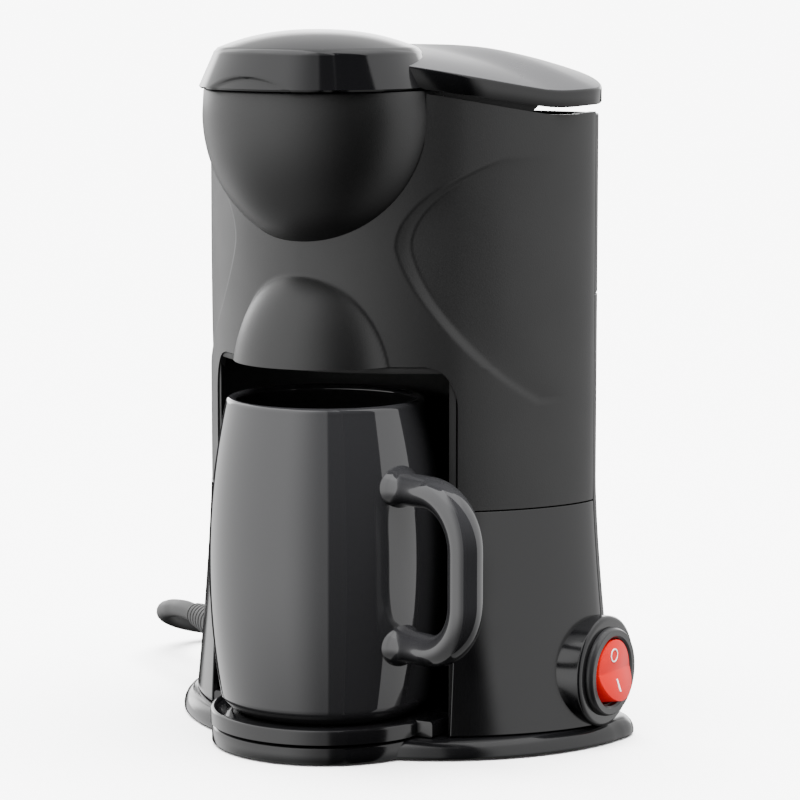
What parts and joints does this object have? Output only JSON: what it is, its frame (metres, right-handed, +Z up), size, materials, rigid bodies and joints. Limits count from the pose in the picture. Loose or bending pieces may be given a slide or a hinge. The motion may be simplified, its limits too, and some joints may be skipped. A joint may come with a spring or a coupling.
{
  "type": "drip coffee maker",
  "caption": "Compact one-cup drip coffee maker with a flip lid, a mug niche in a rounded column, a slide-out cup tray, a side rocker switch and a matching black mug.",
  "frame": {"origin": "on the supporting surface, under the middle of the appliance without its cord", "axes": "+Z up, -Y towards the front where the mug stands, +X towards the side with the switch"},
  "size_m": [0.2409, 0.2312, 0.234],
  "materials": {
    "gloss_black": "glossy moulded black plastic",
    "matt_black": "fine grained satin black plastic",
    "niche_black": "plain dark moulding",
    "mug_glaze": "glossy black glaze",
    "lid_black": "glossy black with a satin top",
    "bezel_grey": "satin dark grey",
    "rocker_red": "bright translucent red",
    "mark_white": "printed white",
    "foot_rubber": "soft rubber",
    "steel": "plated steel",
    "aluminium": "cast aluminium",
    "silicone": "translucent silicone",
    "valve_red": "red silicone",
    "filter_black": "moulded basket plastic",
    "filter_gold": "fine gold-toned mesh",
    "tank_grey": "smoke grey moulded plastic",
    "brass": "plated terminals",
    "wire": "wire insulation",
    "cream": "pale ceramic or nylon",
    "cord_black": "matt black flexible PVC"
  },
  "bodies": {
    "housing": {"base_shell": "gloss_black", "base_plate": "matt_black", "feet": "foot_rubber", "base_screws": "steel", "lower_housing": "gloss_black", "upper_housing": "matt_black", "niche_liner": "niche_black", "rear_cover_lower": "matt_black", "rear_cover_upper": "matt_black", "rear_screws": "steel", "brew_bowl": "matt_black", "filter_basket": "filter_black", "filter_mesh": "filter_gold", "filter_handle": "filter_black", "drip_valve": "valve_red", "drip_funnel": "filter_black", "lid_pins": "steel", "water_tank": "tank_grey", "tank_seal": "silicone", "check_valve": "cream", "inlet_hose": "silicone", "boiler": "aluminium", "heating_element": "steel", "boiler_bracket": "steel", "thermostat": "brass", "thermal_fuses": "cream", "outlet_hose": "silicone", "hose_clamps": "steel", "riser_tube": "silicone", "switch_boss": "gloss_black", "switch_bezel": "bezel_grey", "switch_body": "matt_black", "switch_terminals": "brass", "terminal_block": "cream", "wiring": "wire", "cord_clamp": "matt_black", "strain_relief": "cord_black", "cord": "cord_black", "cord_coil": "cord_black", "cord_tail": "cord_black", "plug": "cord_black", "plug_pins": "steel"},
    "lid": {"lid": "lid_black"},
    "rocker": {"rocker": "rocker_red", "rocker_marks": "mark_white"},
    "tray": {"cup_tray": "gloss_black"},
    "mug": {"mug": "mug_glaze"},
    "spout": {"spout_arm": "filter_black"}
  },
  "joints": [
    {"name": "lid_hinge", "type": "hinge", "parent": "housing", "child": "lid", "pos_m": [0, 0.045, 0.211], "axis": [-1, 0, 0], "range_deg": [0, 90]},
    {"name": "rocker_hinge", "type": "hinge", "parent": "housing", "child": "rocker", "pos_m": [0.0794, 0.0317, 0.024], "axis": [0, 1, 0], "range_deg": [0, 20]},
    {"name": "tray_slide", "type": "slide", "parent": "housing", "child": "tray", "axis": [0, -1, 0], "range_m": [0, 0.09]},
    {"name": "mug_slide", "type": "slide", "parent": "tray", "child": "mug", "axis": [0, -0.9903, 0.1392], "range_m": [0, 0.11]},
    {"name": "spout_swivel", "type": "hinge", "parent": "housing", "child": "spout", "pos_m": [0, 0.035, 0.21], "axis": [0, 0, 1], "range_deg": [0, 40]}
  ]
}
